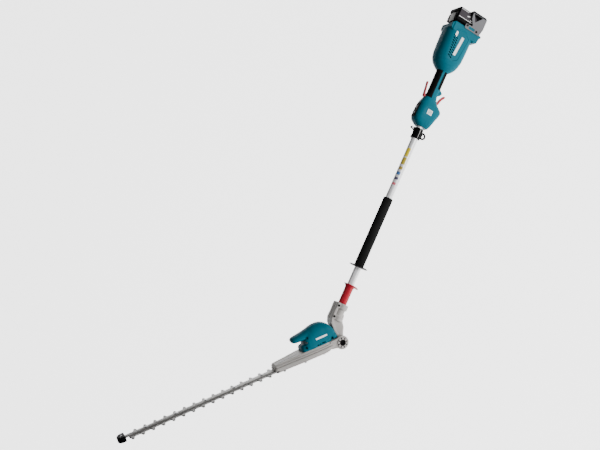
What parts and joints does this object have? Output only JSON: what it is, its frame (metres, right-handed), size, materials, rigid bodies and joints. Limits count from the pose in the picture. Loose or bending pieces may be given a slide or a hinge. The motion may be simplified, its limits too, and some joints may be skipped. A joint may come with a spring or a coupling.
{
  "type": "hedge trimmer",
  "caption": "Battery pole hedge trimmer: tilting double-sided blade head, tubular pole with foam grip and hanger, rear motor housing with slide-on battery.",
  "frame": {"origin": "on the pole's axis, in the middle of the bare stretch between the front grip and the hanger", "axes": "+X along the pole towards the battery, +Y to the tool's right, +Z to its upper side; the head is at its highest tilt, 45 degrees up"},
  "size_m": [1.9307, 0.0968, 0.6317],
  "materials": {
    "teal_plastic": "moulded teal plastic with a fine grain",
    "black_plastic": "black glass-filled plastic",
    "grip_rubber": "soft black overmould",
    "foam_rubber": "closed-cell foam sleeve",
    "red_plastic": "red moulded plastic",
    "grey_plastic": "grey moulded plastic",
    "light_plastic": "light grey plastic",
    "pole_aluminium": "drawn bright aluminium",
    "cast_aluminium": "silver-painted casting",
    "blade_steel": "ground blade steel",
    "machine_steel": "turned and hobbed steel",
    "black_screw": "black-finished fastener",
    "copper_winding": "enamelled copper on laminated steel",
    "board_green": "potted controller"
  },
  "bodies": {
    "pole_unit": {"pole_tube": "pole_aluminium", "shaft_bushes": "black_plastic", "foam_grip": "foam_rubber", "grip_flange": "black_plastic", "shaft_collar": "red_plastic", "hanger_upper": "black_plastic", "hanger_lower": "black_plastic", "hanger_screws": "machine_steel", "arm_housing": "cast_aluminium", "arm_bolts": "black_screw", "motor_stator": "copper_winding", "motor_bearings": "machine_steel", "housing_left": "teal_plastic", "housing_right": "teal_plastic", "housing_screws": "black_screw", "grip_upper": "grip_rubber", "grip_lower": "grip_rubber", "control_panel": "black_plastic", "lever_pins": "machine_steel", "trigger_switch": "black_plastic", "controller": "board_green", "terminal_block": "black_plastic", "battery_guard": "grey_plastic", "guard_screws": "black_screw"},
    "drive_line": {"drive_shaft": "machine_steel", "drive_bevel": "machine_steel", "rotor": "machine_steel", "cooling_fan": "black_plastic"},
    "relay_line": {"relay_shaft": "machine_steel"},
    "pivot_gear": {"pivot_gear": "machine_steel"},
    "head": {"gear_case": "cast_aluminium", "gear_case_base": "cast_aluminium", "base_screws": "black_screw", "pivot_pin": "machine_steel", "hub_ring": "machine_steel", "hub_caps": "black_plastic", "crank_axle": "machine_steel", "guide_bar": "blade_steel", "blade_bolts": "machine_steel", "tip_guard": "black_plastic", "cover_left": "teal_plastic", "cover_right": "teal_plastic", "cover_screws": "black_screw", "tilt_lever_pin": "machine_steel"},
    "head_pinion": {"head_pinion": "machine_steel"},
    "crank": {"crank_gear": "machine_steel"},
    "upper_blade": {"upper_blade": "blade_steel", "upper_rod": "machine_steel"},
    "lower_blade": {"lower_blade": "blade_steel", "lower_rod": "machine_steel"},
    "tilt_lever": {"tilt_lever": "black_plastic"},
    "power_button": {"power_button": "grey_plastic"},
    "mode_button": {"mode_button": "grey_plastic"},
    "trigger": {"trigger": "red_plastic"},
    "lock_off_lever": {"lock_off_lever": "red_plastic"},
    "battery": {"battery_case": "black_plastic", "battery_lid": "black_plastic", "battery_cells": "light_plastic"},
    "battery_button": {"battery_button": "light_plastic"}
  },
  "joints": [
    {"name": "head_tilt", "type": "hinge", "parent": "pole_unit", "child": "head", "pos_m": [-0.676, 0, -0.0455], "axis": [0, 1, 0], "range_deg": [-115, 0]},
    {"name": "motor_spin", "type": "hinge", "parent": "pole_unit", "child": "drive_line", "pos_m": [0, 0, 0], "axis": [1, 0, 0], "continuous": true},
    {"name": "relay_spin", "type": "hinge", "parent": "pole_unit", "child": "relay_line", "pos_m": [-0.628, 0, 0], "axis": [-0.7258, 0, -0.688], "continuous": true},
    {"name": "pivot_gear_spin", "type": "hinge", "parent": "pole_unit", "child": "pivot_gear", "pos_m": [-0.676, 0, -0.0455], "axis": [0, 1, 0], "continuous": true},
    {"name": "head_pinion_spin", "type": "hinge", "parent": "head", "child": "head_pinion", "pos_m": [-0.676, 0, -0.0455], "axis": [-0.7071, 0, 0.7071], "continuous": true},
    {"name": "crank_spin", "type": "hinge", "parent": "head", "child": "crank", "pos_m": [-0.75378, 0, 0.03228], "axis": [0.7071, 0, 0.7071], "continuous": true},
    {"name": "upper_blade_slide", "type": "slide", "parent": "head", "child": "upper_blade", "axis": [-0.7071, 0, 0.7071], "range_m": [-0.009, 0.009]},
    {"name": "lower_blade_slide", "type": "slide", "parent": "head", "child": "lower_blade", "axis": [-0.7071, 0, 0.7071], "range_m": [-0.009, 0.009]},
    {"name": "tilt_lever_press", "type": "hinge", "parent": "head", "child": "tilt_lever", "pos_m": [-0.65797, 0, -0.00343], "axis": [0, 1, 0], "range_deg": [0, 8], "stiffness_Nm_per_rad": 0.5, "springref_deg": -5.73},
    {"name": "power_button_press", "type": "slide", "parent": "pole_unit", "child": "power_button", "axis": [-0.0499, 0, -0.9988], "range_m": [0, 0.001], "stiffness_N_per_m": 800, "springref_m": -0.001},
    {"name": "mode_button_press", "type": "slide", "parent": "pole_unit", "child": "mode_button", "axis": [-0.0499, 0, -0.9988], "range_m": [0, 0.001], "stiffness_N_per_m": 800, "springref_m": -0.001},
    {"name": "trigger_pull", "type": "hinge", "parent": "pole_unit", "child": "trigger", "pos_m": [0.278, 0, -0.014], "axis": [0, -1, 0], "range_deg": [0, 12], "stiffness_Nm_per_rad": 1, "springref_deg": -11.46},
    {"name": "lock_off_press", "type": "hinge", "parent": "pole_unit", "child": "lock_off_lever", "pos_m": [0.282, 0, 0.026], "axis": [0, 1, 0], "range_deg": [0, 9], "stiffness_Nm_per_rad": 0.6, "springref_deg": -5.73},
    {"name": "battery_slide", "type": "slide", "parent": "pole_unit", "child": "battery", "axis": [0, 0, 1], "range_m": [0, 0.09]},
    {"name": "battery_button_press", "type": "slide", "parent": "battery", "child": "battery_button", "axis": [0, 0, -1], "range_m": [0, 0.003], "stiffness_N_per_m": 600, "springref_m": -0.001}
  ],
  "couplings": [
    {"joint": "relay_spin", "follows": "motor_spin", "ratio": 1},
    {"joint": "pivot_gear_spin", "follows": "motor_spin", "ratio": -0.5},
    {"joint": "head_pinion_spin", "follows": "motor_spin", "ratio": -1},
    {"joint": "crank_spin", "follows": "motor_spin", "ratio": -0.16667},
    {"joint": "lower_blade_slide", "follows": "upper_blade_slide", "ratio": -1}
  ]
}
